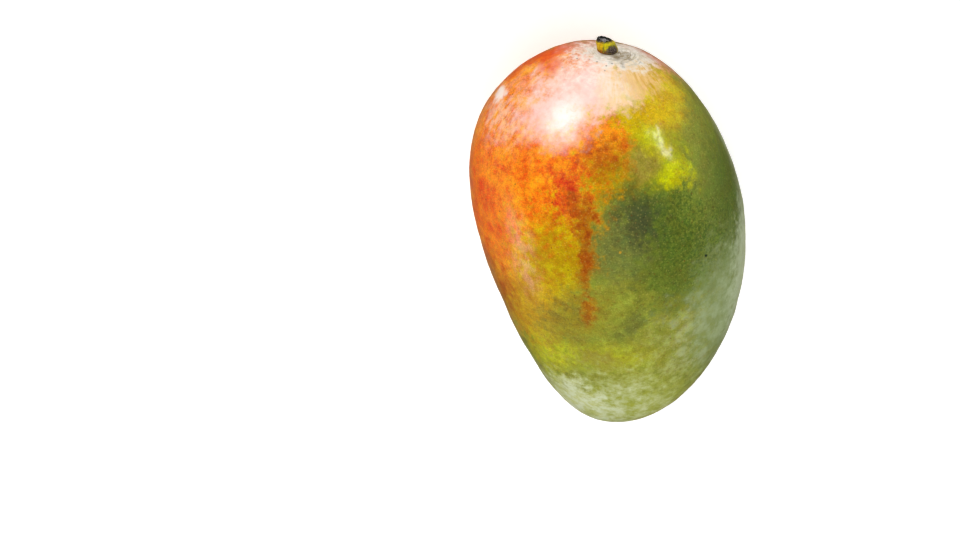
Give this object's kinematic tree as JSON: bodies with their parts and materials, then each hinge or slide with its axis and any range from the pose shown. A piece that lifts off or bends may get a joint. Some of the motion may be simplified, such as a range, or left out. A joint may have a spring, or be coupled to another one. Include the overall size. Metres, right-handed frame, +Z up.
{
  "type": "mango",
  "caption": "Ripe mango lying on its flat cheek, egg-shaped with a bowed side, a red blush over green and yellow skin, and a short broken stem stub.",
  "frame": {"origin": "on the surface the fruit lies on, under the middle of its bounding box", "axes": "+Z up, away from the surface; +Y towards the stem end; +X towards the fuller, more bowed side"},
  "size_m": [0.0878, 0.1302, 0.0753],
  "materials": {
    "skin": "smooth waxy fruit skin, satin sheen, red, orange, yellow and green mottling with fine pale pores and a dusty bloom",
    "stem": "dull yellow-green stalk with grey-brown scab and a dark, dry broken end"
  },
  "bodies": {
    "root": {"fruit": "skin", "stem_stub": "stem"}
  },
  "joints": []
}
